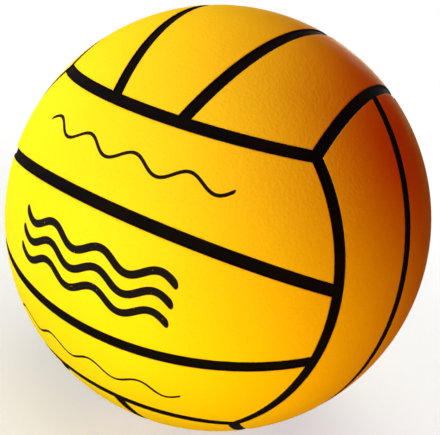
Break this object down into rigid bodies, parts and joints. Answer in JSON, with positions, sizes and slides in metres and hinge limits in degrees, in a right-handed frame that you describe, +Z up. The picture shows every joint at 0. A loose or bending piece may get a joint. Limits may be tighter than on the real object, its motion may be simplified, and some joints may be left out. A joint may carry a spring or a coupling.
{
  "type": "water polo ball",
  "caption": "Air-filled ball with strip panels of yellow rubber set between flat black seams, over a wound nylon layer and a bladder, with a needle valve at the back.",
  "frame": {"origin": "centre of the ball", "axes": "+Y out along the valve, -Y the middle of the front face, +X the right face, +Z up"},
  "size_m": [0.22, 0.2199, 0.22],
  "materials": {
    "cover_rubber": "satin yellow rubber with a fine pebble grain",
    "seam_rubber": "dull black rubber",
    "nylon_thread": "wound off-white nylon thread set in latex",
    "bladder_rubber": "smooth dark butyl rubber",
    "valve_rubber": "smooth semi-matte black rubber"
  },
  "bodies": {
    "ball": {"panel_front_lower": "cover_rubber", "panel_front_middle": "cover_rubber", "panel_front_upper": "cover_rubber", "panel_back_lower": "cover_rubber", "panel_back_middle": "cover_rubber", "panel_back_upper": "cover_rubber", "panel_left_front": "cover_rubber", "panel_left_middle": "cover_rubber", "panel_left_rear": "cover_rubber", "panel_right_front": "cover_rubber", "panel_right_middle": "cover_rubber", "panel_right_rear": "cover_rubber", "panel_top_left": "cover_rubber", "panel_top_middle": "cover_rubber", "panel_top_right": "cover_rubber", "panel_bottom_left": "cover_rubber", "panel_bottom_middle": "cover_rubber", "panel_bottom_right": "cover_rubber", "carcass": "seam_rubber", "nylon_winding": "nylon_thread", "bladder": "bladder_rubber", "valve_housing": "valve_rubber"},
    "plug": {"valve_plug": "valve_rubber"}
  },
  "joints": [
    {"name": "valve_plug_pull", "type": "slide", "parent": "ball", "child": "plug", "axis": [0, 1, 0], "range_m": [0, 0.03]}
  ]
}
